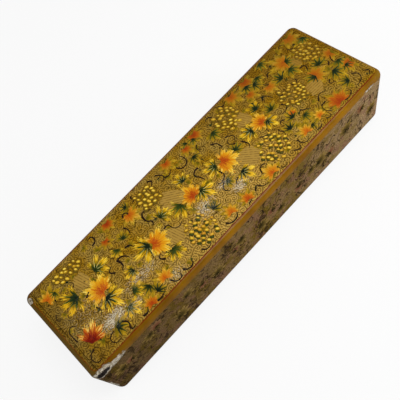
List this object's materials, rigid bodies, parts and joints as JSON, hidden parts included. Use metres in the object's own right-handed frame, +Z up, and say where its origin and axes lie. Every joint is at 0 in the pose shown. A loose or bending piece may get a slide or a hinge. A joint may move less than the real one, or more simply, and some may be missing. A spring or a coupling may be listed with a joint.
{
  "type": "qalamdan pen box",
  "caption": "Long lacquered papier-mache pen case with rounded corners, painted vine ornament and a tray that slides out at one end, fitted with a hinged-lid inkwell and pens.",
  "frame": {"origin": "middle of the footprint, on the surface that the case stands on", "axes": "+X along the case towards its closed end, the tray pulls out towards -X; +Z up"},
  "size_m": [0.24, 0.07, 0.042],
  "materials": {
    "lacquered_case": "gloss",
    "tray_paint": "satin",
    "brass": "satin",
    "reed": "satin",
    "bone": "satin",
    "blade_steel": "satin"
  },
  "bodies": {
    "case": {"case_sleeve": "lacquered_case", "rear_end_plate": "lacquered_case"},
    "tray": {"tray_trough": "tray_paint", "tray_front": "lacquered_case", "cross_board": "tray_paint", "side_board": "tray_paint", "inkwell_cup": "brass", "inkwell_top": "brass", "hinge_pin": "brass", "reed_pen_1": "reed", "reed_pen_2": "reed", "reed_pen_3": "reed", "knife_handle": "bone", "knife_ferrule": "brass", "knife_blade": "blade_steel", "nib_rest": "bone"},
    "inkwell_lid": {"inkwell_lid": "brass"}
  },
  "joints": [
    {"name": "tray_slide", "type": "slide", "parent": "case", "child": "tray", "axis": [-1, 0, 0], "range_m": [0, 0.235]},
    {"name": "lid_hinge", "type": "hinge", "parent": "tray", "child": "inkwell_lid", "pos_m": [-0.1049, 0.0081, 0.0189], "axis": [0, -1, 0], "range_deg": [0, 100]}
  ]
}
